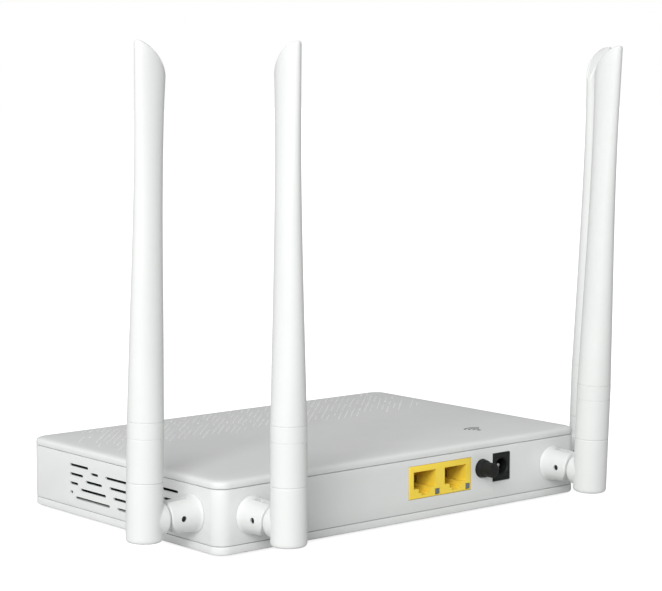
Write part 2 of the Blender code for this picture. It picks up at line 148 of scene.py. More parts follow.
def new_object(name, data):
    obj = bpy.data.objects.new(name, data)
    bpy.context.scene.collection.objects.link(obj)
    return obj


def add_loft(bm, rings):
    loops = [[bm.verts.new(p) for p in ring] for ring in rings]
    count = len(loops[0])
    for low, high in zip(loops, loops[1:]):
        for i in range(count):
            j = (i + 1) % count
            bm.faces.new((low[i], low[j], high[j], high[i]))
    bm.faces.new(loops[0][::-1])
    bm.faces.new(loops[-1])


def lofted(name, rings):
    bm = bmesh.new()
    add_loft(bm, rings)
    return new_object(name, new_mesh(name, bm))


def add_box(bm, x, y, z):
    ring = ((x[0], y[0]), (x[1], y[0]), (x[1], y[1]), (x[0], y[1]))
    add_loft(bm, [[(p[0], p[1], h) for p in ring] for h in z])


def boxes(name, spans):
    bm = bmesh.new()
    for x, y, z in spans:
        add_box(bm, x, y, z)
    return new_object(name, new_mesh(name, bm))


def centred(name, x, half, y, z):
    """A box that reaches as far to one side of x as to the other."""
    return boxes(name, [((x - half, x + half), y, z)])


def along(axis, at, u, v):
    return {"x": (at, u, v), "y": (v, at, u), "z": (u, v, at)}[axis]


def circle(radius, count):
    turn = 2 * math.pi / count
    return [(radius * math.cos(turn * i), radius * math.sin(turn * i)) for i in range(count)]


def add_turned(bm, axis, centre, profile, count):
    rings = []
    for at, radius in profile:
        ring = [along(axis, at, u, v) for u, v in circle(radius, count)]
        rings.append([tuple(c + p for c, p in zip(centre, point)) for point in ring])
    add_loft(bm, rings)


def turned(name, axis, centre, profile, count=48):
    bm = bmesh.new()
    add_turned(bm, axis, centre, profile, count)
    return new_object(name, new_mesh(name, bm))


def rods(name, axis, spots, span, radius, count=32):
    bm = bmesh.new()
    for spot in spots:
        add_turned(bm, axis, spot, [(span[0], radius), (span[1], radius)], count)
    return new_object(name, new_mesh(name, bm))


def plan_ring(inset, z, corner=CORNER_R):
    """The case's outline at one height, drawn in from the wall."""
    radius = max(corner - inset, 0.8)
    x = FACE_X - inset - radius
    y = FACE_Y - inset - radius
    ring = []
    for quarter, (cx, cy) in enumerate(((x, y), (-x, y), (-x, -y), (x, -y))):
        for i in range(CORNER_STEPS + 1):
            angle = math.radians(90 * quarter + 90 * i / CORNER_STEPS)
            ring.append((cx + radius * math.cos(angle), cy + radius * math.sin(angle), z))
    return ring


def prism(name, inset, low, high):
    return lofted(name, [plan_ring(inset, low), plan_ring(inset, high)])


def modify(obj, kind, **settings):
    step = obj.modifiers.new(kind.lower(), kind)
    for key, value in settings.items():
        setattr(step, key, value)


def applied(obj):
    """Bakes the modifiers into the mesh and removes the helpers that they used."""
    helpers = [m.object for m in obj.modifiers if m.type == "BOOLEAN"]
    graph = bpy.context.evaluated_depsgraph_get()
    mesh = bpy.data.meshes.new_from_object(obj.evaluated_get(graph))
    obj.modifiers.clear()
    obj.data = mesh
    for helper in helpers:
        bpy.data.objects.remove(helper, do_unlink=True)
    return obj


def cut(obj, *cutters):
    for cutter in cutters:
        modify(obj, "BOOLEAN", operation="DIFFERENCE", solver="EXACT", object=cutter)
    return applied(obj)


def fuse(obj, *others):
    for other in others:
        modify(obj, "BOOLEAN", operation="UNION", solver="EXACT", object=other)
    return applied(obj)


def soften(obj, width, segments):
    """Rounds the sharp edges and shades the piece smooth."""
    modify(obj, "WELD", merge_threshold=0.01 * MM)
    sharp = {"limit_method": "ANGLE", "angle_limit": math.radians(40.0)}
    modify(obj, "BEVEL", width=width * MM, segments=segments, **sharp)
    return shaded(applied(obj))


def shaded(obj, angle=35.0):
    for face in obj.data.polygons:
        face.use_smooth = True
    obj.data.set_sharp_from_angle(angle=math.radians(angle))
    return obj


def moulded(obj, voxel):
    """One skin over the joined shapes, with the fillets that a mould leaves."""
    modify(obj, "REMESH", mode="VOXEL", voxel_size=voxel * MM)
    modify(obj, "SMOOTH", iterations=6, factor=0.5)
    applied(obj)
    for face in obj.data.polygons:
        face.use_smooth = True
    return obj


# ---------------------------------------------------------------- materials


def link(tree, out, socket):
    tree.links.new(out, socket)


def node(tree, kind, **inputs):
    made = tree.nodes.new(kind)
    for key, value in inputs.items():
        made.inputs[key.replace("_", " ")].default_value = value
    return made


def noise(tree, scale, detail, rough=0.6):
    coords = tree.nodes.new("ShaderNodeTexCoord")
    made = node(tree, "ShaderNodeTexNoise", Scale=scale, Detail=detail, Roughness=rough)
    link(tree, coords.outputs["Object"], made.inputs["Vector"])
    return made


def ramp(tree, source, low, high, ends=(0.3, 0.7)):
    made = tree.nodes.new("ShaderNodeValToRGB")
    made.color_ramp.elements[0].position = ends[0]
    made.color_ramp.elements[1].position = ends[1]
    made.color_ramp.elements[0].color = (*low, 1.0)
    made.color_ramp.elements[1].color = (*high, 1.0)
    link(tree, source, made.inputs["Fac"])
    return made


def spread(tree, source, low, high):
    made = node(tree, "ShaderNodeMapRange", To_Min=low, To_Max=high)
    link(tree, source, made.inputs["Value"])
    return made


def surface(name, low, high, rough, grain, fineness, patch=35.0, metallic=0.0, coat=0.0, gloss=0.5):
    """Moulded or metal surface: patchy colour, uneven gloss and a fine grain in the bump."""
    mat = bpy.data.materials.new(name)
    mat.use_nodes = True
    tree = mat.node_tree
    shader = tree.nodes["Principled BSDF"]
    shader.inputs["Metallic"].default_value = metallic
    shader.inputs["Specular IOR Level"].default_value = gloss
    shader.inputs["Coat Weight"].default_value = coat
    shader.inputs["Coat Roughness"].default_value = 0.2
    wide = noise(tree, patch, 5.0)
    tint = ramp(tree, wide.outputs["Fac"], low, high)
    link(tree, tint.outputs["Color"], shader.inputs["Base Color"])
    fine = noise(tree, fineness, 2.0, 0.5)
    uneven = spread(tree, fine.outputs["Fac"], rough[0], rough[1])
    link(tree, uneven.outputs["Result"], shader.inputs["Roughness"])
    bump = node(tree, "ShaderNodeBump", Strength=grain, Distance=0.0001)
    link(tree, fine.outputs["Fac"], bump.inputs["Height"])
    link(tree, bump.outputs["Normal"], shader.inputs["Normal"])
    return mat


def brushed(name, colour, rough):
    """Metal with fine streaks along one direction."""
    mat = surface(name, [c * 0.9 for c in colour], colour, rough, 0.15, 900.0, 60.0, 1.0)
    tree = mat.node_tree
    stretch = node(tree, "ShaderNodeMapping", Scale=(40.0, 900.0, 900.0))
    coords = tree.nodes.new("ShaderNodeTexCoord")
    streaks = node(tree, "ShaderNodeTexNoise", Scale=1.0, Detail=3.0)
    link(tree, coords.outputs["Object"], stretch.inputs["Vector"])
    link(tree, stretch.outputs["Vector"], streaks.inputs["Vector"])
    uneven = spread(tree, streaks.outputs["Fac"], rough[0], rough[1])
    link(tree, uneven.outputs["Result"], tree.nodes["Principled BSDF"].inputs["Roughness"])
    return mat


def circuit(name):
    """Solder mask with paler copper runs under it."""
    mat = surface(name, (0.015, 0.11, 0.04), (0.025, 0.17, 0.06), (0.3, 0.45), 0.2, 700.0)
    tree = mat.node_tree
    coords = tree.nodes.new("ShaderNodeTexCoord")
    cells = node(tree, "ShaderNodeTexVoronoi", Scale=160.0)
    cells.distance = "MANHATTAN"
    link(tree, coords.outputs["Object"], cells.inputs["Vector"])
    copper, mask = (0.05, 0.26, 0.1), (0.015, 0.12, 0.045)
    runs = ramp(tree, cells.outputs["Distance"], copper, mask, (0.42, 0.46))
    link(tree, runs.outputs["Color"], tree.nodes["Principled BSDF"].inputs["Base Color"])
    return mat


CASE = surface("case_plastic", (0.735, 0.75, 0.742), (0.765, 0.778, 0.77), (0.42, 0.56), 0.35, 2600.0)
# Near-white for the lid's strokes, which are the case plastic: painted highlight for light catching their
# raised faces.
STROKE_PAINTED_HIGHLIGHT = surface("strokes_painted_highlight", (0.93, 0.94, 0.935), (0.96, 0.965, 0.96), (0.25, 0.35), 0.1, 2200.0)
ANTENNA = surface("antenna_plastic", (0.745, 0.76, 0.75), (0.77, 0.782, 0.772), (0.34, 0.46), 0.15, 2200.0)
YELLOW = surface("port_yellow", (0.93, 0.68, 0.065), (0.97, 0.73, 0.08), (0.28, 0.42), 0.2, 1800.0)
# Dark brown for the socket's back carrier: painted shade where the inside of the socket lies in shadow.
PAINTED_SHADE_BROWN = surface("socket_painted_shade", (0.16, 0.085, 0.012), (0.2, 0.105, 0.016), (0.35, 0.5), 0.2, 1800.0)
BLACK = surface(
    "black_plastic", (0.008, 0.009, 0.009), (0.014, 0.015, 0.014), (0.42, 0.6), 0.25, 1800.0, gloss=0.22
)
LAMP = surface("lamp_lens", (0.10, 0.13, 0.15), (0.16, 0.19, 0.21), (0.12, 0.2), 0.05, 900.0, coat=0.6)
GREEN = surface("fibre_green", (0.015, 0.18, 0.06), (0.02, 0.23, 0.08), (0.3, 0.42), 0.2, 1600.0)
CAP = surface("cap_green", (0.04, 0.25, 0.10), (0.055, 0.31, 0.13), (0.4, 0.55), 0.2, 1600.0)
RUBBER = surface("foot_rubber", (0.06, 0.06, 0.063), (0.09, 0.09, 0.093), (0.7, 0.88), 0.6, 1500.0)
STEEL = brushed("steel", (0.62, 0.62, 0.63), (0.22, 0.42))
ALUMINIUM = brushed("heatsink_alloy", (0.66, 0.67, 0.68), (0.3, 0.5))
GOLD = brushed("contact_gold", (0.85, 0.62, 0.26), (0.15, 0.3))
BOARD = circuit("board")
CHIP = surface("chip_epoxy", (0.018, 0.018, 0.019), (0.03, 0.03, 0.032), (0.45, 0.6), 0.4, 1500.0)
CLEAR = surface("clear_guide", (0.72, 0.77, 0.82), (0.8, 0.84, 0.88), (0.1, 0.2), 0.05, 800.0, coat=0.5)
SLEEVE = surface("capacitor_sleeve", (0.03, 0.035, 0.05), (0.045, 0.05, 0.07), (0.2, 0.32), 0.1, 1200.0)
COAX = surface("coax_jacket", (0.08, 0.08, 0.085), (0.12, 0.12, 0.125), (0.3, 0.45), 0.15, 1500.0)
INK = surface("print_grey", (0.04, 0.042, 0.045), (0.06, 0.062, 0.065), (0.4, 0.5), 0.1, 1500.0)


def dress(obj, mat, body, slot, *nodes):
    obj.data.materials.clear()
    obj.data.materials.append(mat)
    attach(obj, body)
    if nodes:
        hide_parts(*nodes)
    return obj


# ---------------------------------------------------------------- the case


def vent_spans():
    """Start, end and height of each slot. The gaps between the slots run in slanting lines."""
    spans = []
    for row in range(VENT_ROWS):
        whole = VENT_TOP - VENT_PITCH * row
        half = whole - VENT_PITCH / 2
        spans.append((-34.5, -21.6 - 3.6 * row, whole))
        spans.append((-19.8 - 3.65 * row, -14.7 + 2.65 * row, half))
        spans.append((-9.7 + 2.65 * row, 13.3 - 2.65 * row, half))
        spans.append((18.3 - 2.65 * row, 23.4 + 3.65 * row, half))
        spans.append((25.2 + 3.6 * row, 38.1, whole))
    return spans


def vent_cutter(name, side):
    """Round-ended slots through one side wall."""
    bm = bmesh.new()
    across = sorted((side * (FACE_X - WALL - 1), side * (FACE_X + 1)))
    for a, b, z in vent_spans():
        ring = []
        for start, end in ((-90, b - VENT_R), (90, a + VENT_R)):
            for i in range(9):
                angle = math.radians(start + 180 * i / 8)
                ring.append((end + VENT_R * math.cos(angle), z + VENT_R * math.sin(angle)))
        add_loft(bm, [[(x, y, h) for y, h in ring] for x in across])
    return new_object(name, new_mesh(name, bm))


def knuckle_holes(radius):
    bm = bmesh.new()
    for x, y, turn, _lean in ANTENNAS.values():
        axis = "y" if turn == 90.0 else "x"
        sign = -1 if turn == 180.0 else 1
        centre = (0, y, KNUCKLE_Z) if axis == "x" else (x, 0, KNUCKLE_Z)
        face = FACE_X if axis == "x" else FACE_Y
        span = sorted((sign * (face - WALL - 1), sign * (face + 1)))
        add_turned(bm, axis, centre, [(s, radius) for s in span], 40)
    return new_object("knuckle_holes", new_mesh("knuckle_holes", bm))


def build_band():
    low, high = SEAM_LOW + SEAM_GAP, SEAM_HIGH - SEAM_GAP
    rings = [plan_ring(inset, low + rise) for inset, rise in SEAM_EDGE]
    rings += [plan_ring(inset, high - drop) for inset, drop in reversed(SEAM_EDGE)]
    band = lofted("band_shell", rings)
    y = (FACE_Y - WALL - 1, FACE_Y + 1)
    ports = [
        ((BLOCK_X[0] - 0.15, BLOCK_X[1] + 0.15), y, (9.75, 22.95)),
        ((JACK_X[0] - 0.2, JACK_X[1] + 0.2), y, (11.3, 22.9)),
        ((FIBRE_X - 5.2, FIBRE_X + 5.2), y, (FIBRE_Z - 4.9, FIBRE_Z + 4.9)),
    ]
    front = (-FACE_Y - 1, -FACE_Y + WALL + 1)
    side = (-FACE_X - 1, -FACE_X + WALL + 1)
    thinned = ((-FACE_X + 0.7, -FACE_X + WALL + 1), (FACE_X - WALL - 1, FACE_X - 0.7))
    cut(
        band,
        prism("core", WALL, 0.0, 30.0),
        boxes("port_holes", ports),
        rods("button_hole", "y", [(BUTTON_X, 0, BUTTON_Z)], y, 3.85),
        rods("led_holes", "y", [(x, 0, LED_Z) for x in LED_XS], front, 1.15, 20),
        rods("wps_hole", "x", [(0, WPS_Y, SIDE_BUTTON_Z)], side, 2.5),
        rods("reset_hole", "x", [(0, RESET_Y, SIDE_BUTTON_Z)], side, 1.25, 20),
        knuckle_holes(4.6),
        boxes("vent_pockets", [(x, (-37.0, 39.5), (8.0, 22.8)) for x in thinned]),
        vent_cutter("vents_right", 1),
        vent_cutter("vents_left", -1),
    )
    shaded(band, 30.0)
    return dress(band, CASE, "case", "case_plastic", "mid_band")


def build_lid():
    steps = [(inset, SEAM_HIGH + SEAM_GAP + rise) for inset, rise in SEAM_EDGE]
    steps += [(0.0, 27.0), (0.06, 27.5), (0.22, 27.9), (0.5, 28.15), (0.95, 28.4), (1.6, 28.6)]
    steps += [*LID_CROWN[:-1], (50.0, LID_TOP + 0.02)]
    lid = lofted("lid_shell", [plan_ring(inset, z, CORNER_R + 0.5 * inset) for inset, z in steps])
    cut(lid, prism("lid_hollow", WALL, 20.0, 27.2))
    lip = prism("lid_lip_ring", WALL + 0.3, 23.2, 26.2)
    fuse(lid, cut(lip, prism("lid_lip_core", WALL + 1.8, 20.0, 27.0)))
    shaded(lid, 30.0)
    return dress(lid, CASE, "case", "case_plastic", "lid")


def lid_height(x, y):
    """Top of the lid at a point, from its distance to the nearest edge."""
    inset = min(FACE_X - abs(x), FACE_Y - abs(y))
    for (a, za), (b, zb) in zip(LID_CROWN, LID_CROWN[1:]):
        if inset <= b:
            return za + (zb - za) * max(inset - a, 0.0) / (b - a)
    return LID_TOP


def add_stroke(bm, x, y, length, width):
    """A shallow raised stroke with pointed ends, running diagonally over the lid."""
    d = Vector((-math.sqrt(0.5), -math.sqrt(0.5)))
    n = Vector((d.y, -d.x))
    rows = []
    steps = max(4, int(length / 2.5))
    for i in range(steps + 1):
        t = i / steps
        half = 0.5 * width * math.sin(math.pi * min(max(t, 0.04), 0.96)) ** 0.35
        at = Vector((x, y)) + d * (length * t)
        row = []
        for side, up in ((-1.0, -0.1), (-0.72, STROKE_RISE), (0.72, STROKE_RISE), (1.0, -0.1)):
            p = at + n * (half * side)
            row.append(bm.verts.new((p.x, p.y, lid_height(p.x, p.y) + up)))
        rows.append(row)
    for a, b in zip(rows, rows[1:]):
        for i in range(3):
            bm.faces.new((a[i], a[i + 1], b[i + 1], b[i]))
        bm.faces.new((a[3], a[0], b[0], b[3]))
    bm.faces.new(rows[0][::-1])
    bm.faces.new(rows[-1])


def build_strokes():
    """Diagonal strokes of random length, in columns over the front half of the lid. They are the lid's own
    plastic, coloured near-white as painted highlight where their raised faces catch the light.
    """
    rng = random.Random(11)
    bm = bmesh.new()
    for column in range(STROKE_COLUMNS):
        x = 128.0 - STROKE_PITCH * column
        y = -10.0 - 12.0 * rng.random()
        while y > -55.0:
            length = 5.0 + 26.0 * rng.random() ** 1.2
            length = min(length, (y + 58.5) * 2 * DIAGONAL)
            start = x + y
            end = start - DIAGONAL * length
            if length > 3.0 and abs(start) < STROKE_REACH and abs(end) < STROKE_REACH:
                add_stroke(bm, start, y, length, 0.8 + 0.35 * rng.random())
            y -= DIAGONAL * length + 2.0 + 7.0 * rng.random()
    strokes = new_object("lid_strokes", new_mesh("lid_strokes", bm))
    shaded(strokes, 50.0)
    return dress(strokes, STROKE_PAINTED_HIGHLIGHT, "case", "case_plastic")


def build_mark():
    """A plain wireless sign, three arcs over a dot, printed on the lid."""
    bm = bmesh.new()
    for inner, outer in ((1.9, 2.7), (3.7, 4.5), (5.5, 6.3)):
        rows = []
        for i in range(17):
            angle = math.radians(-45 + 90 * i / 16)
            d = Vector((math.sin(angle), math.cos(angle)))
            rows.append([d * r for r in (inner, outer)])
        add_print(bm, rows)
    dot = [[Vector((-0.8, y)), Vector((0.8, y))] for y in (-0.8, 0.8)]
    add_print(bm, dot)
    mark = new_object("wireless_mark", new_mesh("mark", bm))
    return dress(mark, INK, "case", "black_plastic")


def add_print(bm, rows):
    """A strip of ink 0.03 mm thick, seen upright from the port side."""
    rings = []
    for a, b in rows:
        ring = []
        for p, up in ((a, -0.02), (b, -0.02), (b, 0.03), (a, 0.03)):
            x, y = MARK_X - p.x, MARK_Y - p.y
            ring.append((x, y, lid_height(x, y) + up))
        rings.append(ring)
    add_loft(bm, rings)


def build_base():
    steps = [(0.9, 0.0), (0.4, 0.1), (0.1, 0.4), (0.0, 0.8)]
    rings = [plan_ring(inset, CASE_BOTTOM + rise) for inset, rise in steps]
    rings += [plan_ring(inset, SEAM_LOW - SEAM_GAP - drop) for inset, drop in reversed(SEAM_EDGE)]
    base = lofted("base_shell", rings)
    fuse(base, prism("base_lip", WALL + 0.3, 3.0, 6.5))
    through = (0.0, 5.0)
    keys = [(x, KEYHOLE_Y, 0) for x in KEYHOLE_XS]
    necks = [((x - 2.1, x + 2.1), (KEYHOLE_Y, KEYHOLE_Y + 9.0), through) for x in KEYHOLE_XS]
    rows = (-22.0, -11.0, 0.0, 11.0)
    slots = [((x, x + 21.0), (y, y + 2.5), through) for x in (-24.0, 3.0) for y in rows]
    cut(base, prism("base_hollow", WALL + 1.8, 3.4, 9.0))
    fuse(base, rods("pillars", "z", SCREW_SPOTS, (3.0, 11.9), 3.5, 24))
    cut(
        base,
        rods("screw_holes", "z", SCREW_SPOTS, (0.0, 13.0), 1.75, 20),
        rods("counterbores", "z", SCREW_SPOTS, (0.0, 3.6), 3.1, 28),
        rods("foot_seats", "z", FOOT_SPOTS, (0.0, 1.8), 6.2, 40),
        rods("keys", "z", keys, through, 4.2),
        boxes("key_necks", necks),
        boxes("base_slots", slots),
    )
    shaded(base, 30.0)
    return dress(base, CASE, "case", "case_plastic", "base")


def build_feet():
    profile = [(0.0, 4.6), (0.05, 5.2), (0.25, 5.7), (0.6, 5.95), (1.0, 6.0), (1.5, 6.0)]
    for number, spot in enumerate(FOOT_SPOTS, 1):
        foot = turned(f"foot_pad_{number}", "z", spot, profile)
        dress(shaded(foot), RUBBER, "case", "rubber", f"foot_{number}")


def build_screws():
    profile = [(1.7, 2.2), (1.85, 2.6), (2.2, 2.75), (3.3, 2.75), (3.3, 1.35), (17.0, 1.35), (17.6, 0.6)]
    for number, spot in enumerate(SCREW_SPOTS, 1):
        screw = turned(f"screw_{number}", "z", spot, profile, 32)
        x, y, _z = spot
        for across, along_y in ((1.6, 0.3), (0.3, 1.6)):
            cut(screw, centred("cross", x, across, (y - along_y, y + along_y), (1.0, 2.6)))
        dress(shaded(screw), STEEL, "case", "steel", f"case_screw_{number}")


# ---------------------------------------------------------------- the back


def build_block():
    block = boxes("port_block", [(BLOCK_X, (46.0, FACE_Y + 0.25), (9.9, 22.8))])
    soften(block, 0.25, 2)
    front = (50.5, FACE_Y + 2)
    for x in SOCKET_XS:
        cut(
            block,
            centred("mouth", x, 5.85, front, (13.7, 20.5)),
            centred("latch", x, 3.2, front, (12.0, 14.2)),
            centred("key", x, 1.7, front, (11.0, 12.5)),
            centred("lamp_seat", x - 6.8, 1.3, (59.0, FACE_Y + 2), (10.35, 12.75)),
        )
    soften(block, 0.12, 1)
    dress(block, YELLOW, "case", "port_plastic", "rj45_block")
    for number, x in enumerate(SOCKET_XS, 1):
        lens = centred(f"port_lens_{number}", x - 6.8, 1.1, (59.4, FACE_Y + 0.1), (10.55, 12.55))
        dress(soften(lens, 0.2, 2), LAMP, "case", "lamp", f"rj45_lamp_{number}")
        build_insert(number, x)
        build_contacts(number, x)


def build_insert(number, x):
    """A carrier at the back of one socket, with a rib between each pair of contacts, coloured dark brown as
    painted shade for the socket's unlit inside.
    """
    depth = (50.6, 52.2)
    insert = centred(f"socket_painted_shade_{number}", x, 5.75, depth, (13.8, 20.4))
    for i in range(7):
        fuse(insert, centred("rib", x + CONTACT_PITCH * (i - 3), 0.2, (52.0, 60.2), (19.2, 20.4)))
    fuse(insert, centred("latch_back", x, 3.1, depth, (12.1, 13.8)))
    dress(soften(insert, 0.08, 1), PAINTED_SHADE_BROWN, "case", "port_plastic")


def build_contacts(number, x):
    """Eight sprung wires that slope down and back inside one socket."""
    bm = bmesh.new()
    bends = ((61.2, 20.3), (60.2, 19.6), (53.0, 16.6), (51.0, 16.2))
    for i in range(8):
        at = x + CONTACT_PITCH * (i - 3.5)
        add_wire(bm, [(at, y, z) for y, z in bends], 0.2)
    wires = new_object(f"port_contacts_{number}", new_mesh("contacts", bm))
    dress(shaded(wires), GOLD, "case", "gold")


def add_wire(bm, path, radius):
    rings = []
    for i, at in enumerate(path):
        here = Vector(path[min(i + 1, len(path) - 1)]) - Vector(path[max(i - 1, 0)])
        side = Vector((1, 0, 0))
        up = here.cross(side).normalized()
        ring = [Vector(at) + side * u + up * v for u, v in circle(radius, 8)]
        rings.append([tuple(p) for p in ring])
    add_loft(bm, rings)


def build_jack():
    centre = ((JACK_X[0] + JACK_X[1]) / 2, 0, JACK_Z)
    jack = boxes("power_jack", [(JACK_X, (49.0, FACE_Y + 0.4), (11.5, 22.7))])
    soften(jack, 0.3, 2)
    cut(
        jack,
        rods("bore", "y", [centre], (53.5, FACE_Y + 2), 3.15, 48),
        rods("pin_seat", "y", [centre], (51.0, 54.0), 1.4, 16),
        turned("mouth", "y", centre, [(FACE_Y - 0.2, 3.1), (FACE_Y + 0.6, 3.95)]),
    )
    fuse(jack, boxes("jack_foot", [(JACK_X, (49.0, FACE_Y - WALL - 1.2), (9.9, 12.0))]))
    shaded(jack, 30.0)
    dress(jack, BLACK, "case", "black_plastic", "dc_jack")
    tip = [(61.0, 1.05), (61.25, 0.9), (61.38, 0.6)]
    pin = turned("power_pin", "y", centre, [(51.3, 1.05), *tip], 32)
    dress(shaded(pin), STEEL, "case", "steel", "dc_pin")


def build_button():
    centre = (BUTTON_X, 0, BUTTON_Z)
    profile = [(49.5, 1.5), (57.0, 1.5), (57.0, 3.3), (57.2, 3.5), (64.9, 3.5), (65.15, 3.42)]
    profile += [(65.3, 3.2), (65.4, 3.02), (65.6, 2.95), (69.2, 2.95), (69.65, 2.82), (69.9, 2.5)]
    profile += [(70.0, 2.0)]
    button = turned("button_cap", "y", centre, profile)
    cut(button, turned("dish", "y", centre, [(69.75, 0.8), (69.85, 1.6), (70.2, 2.1)], 32))
    dress(shaded(button, 30.0), BLACK, "power_button", "black_plastic", "power_button")


def fibre_box(name, half_x, y, half_z):
    return centred(name, FIBRE_X, half_x, y, (FIBRE_Z - half_z, FIBRE_Z + half_z))


def build_fibre():
    """The fibre adapter with a square hole, and the dust cap that plugs it."""
    adapter = fibre_box("fibre_adapter", 5.0, (38.0, FACE_Y), 4.7)
    soften(adapter, 0.3, 2)
    cut(adapter, fibre_box("hole", 3.9, (50.0, FACE_Y + 2), 3.7))
    shaded(adapter, 30.0)
    dress(adapter, GREEN, "case", "fibre_green", "sc_adapter")
    cap = fibre_box("dust_plug", 3.5, (53.0, FACE_Y + 1.0), 3.3)
    fuse(cap, fibre_box("head", 4.6, (FACE_Y + 0.3, FACE_Y + 2.4), 4.3))
    soften(cap, 0.45, 3)
    dress(cap, CAP, "dust_cap", "cap_green", "sc_dust_cap")


def build_side_buttons():
    cap = [(-94.3, 1.3), (-94.25, 1.8), (-94.05, 2.1), (-93.7, 2.2), (-90.6, 2.2)]
    cap += [(-90.6, 1.0), (-80.0, 1.0)]
    wps = turned("wps_cap", "x", (0, WPS_Y, SIDE_BUTTON_Z), cap, 40)
    dress(shaded(wps, 30.0), CASE, "wps_button", "case_plastic", "wps_button")
    tip = [(-93.0, 0.7), (-92.8, 0.95), (-80.0, 0.95)]
    rod = turned("reset_rod", "x", (0, RESET_Y, SIDE_BUTTON_Z), tip, 24)
    dress(shaded(rod, 30.0), BLACK, "reset_button", "case_plastic", "reset_button")


# ---------------------------------------------------------------- antennas


def section(width, thick, height_of, count=56):
    """A slice across the antenna, at rest with its pin at the origin; height_of may slant it."""
    ring = []
    for u, v in circle(1.0, count):
        ring.append((TUBE_OUT + u * width / 2, v * thick / 2, height_of(u) - TUBE_DROP))
    return ring


def level(width, thick, height, count=56):
    return section(width, thick, lambda u: height, count)


def tip_height(u):
    """Where the slanted, hooked tip ends: full height outwards, lower towards the case."""
    inward = max((1.0 - u) / 2, 0.0)
    curl = 1.0 - math.sqrt(max(1.0 - inward * inward, 0.0))
    return ANT_LENGTH - 6.4 * inward**1.3 - 7.2 * curl


def blended(share, below):
    """Heights part of the way from the level end of the blade to its tip."""
    return lambda u: TIP_START + share * (tip_height(u) - below - TIP_START)


def blade_mesh():
    rings = [level(w, t, h) for h, w, t in BLADE]
    for share, w, t in ((0.25, 12.35, 6.6), (0.5, 12.6, 6.52), (0.75, 12.8, 6.46)):
        rings.append(section(w, t, blended(share, 0.9)))
    rim = [(0.9, 13.0, 6.4), (0.45, 12.88, 6.28), (0.15, 12.55, 5.95), (0.0, 12.0, 5.4), (-0.03, 11.0, 4.4)]
    rings += [section(w, t, blended(1.0, below)) for below, w, t in rim]
    blade = lofted("blade", rings)
    core = [level(11.0, 11.0, RADOME_START - 1.0), level(11.0, 10.6, 54.0)]
    core += [level(w - 2.4, t - 2.4, h) for h, w, t in BLADE[4:]]
    cut(blade, lofted("blade_core", core))
    return shaded(blade, 38.0)


def sleeve_mesh():
    """The upper tube: a fine groove round it, then the spigot that goes up into the blade."""
    low, groove, top = SLEEVE_START, COLLAR_START, RADOME_START
    steps = [(low + 0.02, -0.12), (low + 0.1, -0.04), (low + 0.3, 0.0), (low + 0.6, 0.0)]
    steps += [(groove - 0.55, 0.0), (groove - 0.25, 0.0), (groove - 0.08, -0.03), (groove - 0.04, -0.14)]
    steps += [(groove + 0.04, -0.14), (groove + 0.08, -0.03), (groove + 0.25, 0.0), (groove + 0.55, 0.0)]
    steps += [(top - 0.4, 0.0), (top - 0.12, 0.0), (top - 0.02, -0.04)]
    steps += [(top - 0.01, SPIGOT_R - TUBE_R), (top + 6.0, SPIGOT_R - TUBE_R)]
    rings = [level(2 * (TUBE_R + out), 2 * (TUBE_R + out), h) for h, out in steps]
    sleeve = lofted("sleeve", rings)
    cut(sleeve, lofted("seat", [level(2.8, 2.8, h, 20) for h in (RADOME_START - 2.0, 55.0)]))
    return shaded(sleeve, 30.0)


def elbow_mesh():
    """The lower tube with the round flange and the tongue that turns on the pin."""
    steps = [(0.0, -1.3), (0.12, -0.75), (0.45, -0.3), (1.0, -0.06), (1.6, 0.0), (SLEEVE_START, 0.0)]
    elbow = lofted("elbow", [level(2 * (TUBE_R + out), 2 * (TUBE_R + out), h) for h, out in steps])
    disc = [(5.3, 5.2), (5.5, 5.8), (5.9, 6.2), (6.4, 6.35), (TUBE_OUT, 6.35)]
    fuse(elbow, turned("disc", "x", (0, 0, 0), disc))
    tongue = turned("tongue", "y", (0, 0, 0), [(-1.5, 4.2), (1.5, 4.2)])
    bar = boxes("bar", [((0.0, 7.0), (-1.5, 1.5), (-4.1, 4.1))])
    fuse(elbow, tongue, bar)
    cut(elbow, rods("pin_hole", "y", [(0, 0, 0)], (-3.0, 3.0), 1.3))
    return moulded(elbow, 0.22)


def knuckle_outline():
    """The side view that trims the barrel round the pin, so that the antenna has room to tilt."""
    points = [(-20.0, 8.45), (1.45, 8.45), (4.3, 5.6), (4.75, 4.4), (4.9, 3.0), (4.9, 0.0), (4.73, -1.27)]
    points += [(4.24, -2.45), (3.46, -3.46), (2.81, -4.01), (1.2, -5.3), (-3.0, -8.45), (-20.0, -8.45)]
    return lofted("outline", [[(PIN_OUT + n, y, z) for n, z in points] for y in (-8.0, 8.0)])


def knuckle_mesh():
    """A smooth barrel with a rounded foot, trimmed for the tilt and slotted for the tongue."""
    barrel = [(-3.5, 5.4), (-2.4, 5.4), (-2.4, 4.1), (0.08, 4.1), (0.08, 7.5), (0.3, 7.3), (0.7, 6.95)]
    barrel += [(1.3, 6.75), (2.4, 6.65), (4.0, 6.6), (6.5, 6.5), (PIN_OUT, BARREL_R), (PIN_OUT + 6.0, 6.2)]
    knuckle = turned("knuckle", "x", (0, 0, 0), barrel, 64)
    modify(knuckle, "BOOLEAN", operation="INTERSECT", solver="EXACT", object=knuckle_outline())
    applied(knuckle)
    moulded(knuckle, 0.2)
    cut(
        knuckle,
        boxes("slot", [((3.4, 15.0), (-1.85, 1.85), (-9.0, 9.0))]),
        rods("pin_hole", "y", [(PIN_OUT, 0, 0)], (-9.0, 9.0), 1.15, 24),
        rods("cable_bore", "x", [(0, 0, 0)], (-5.0, 5.0), 1.6, 24),
    )
    return shaded(knuckle, 40.0)


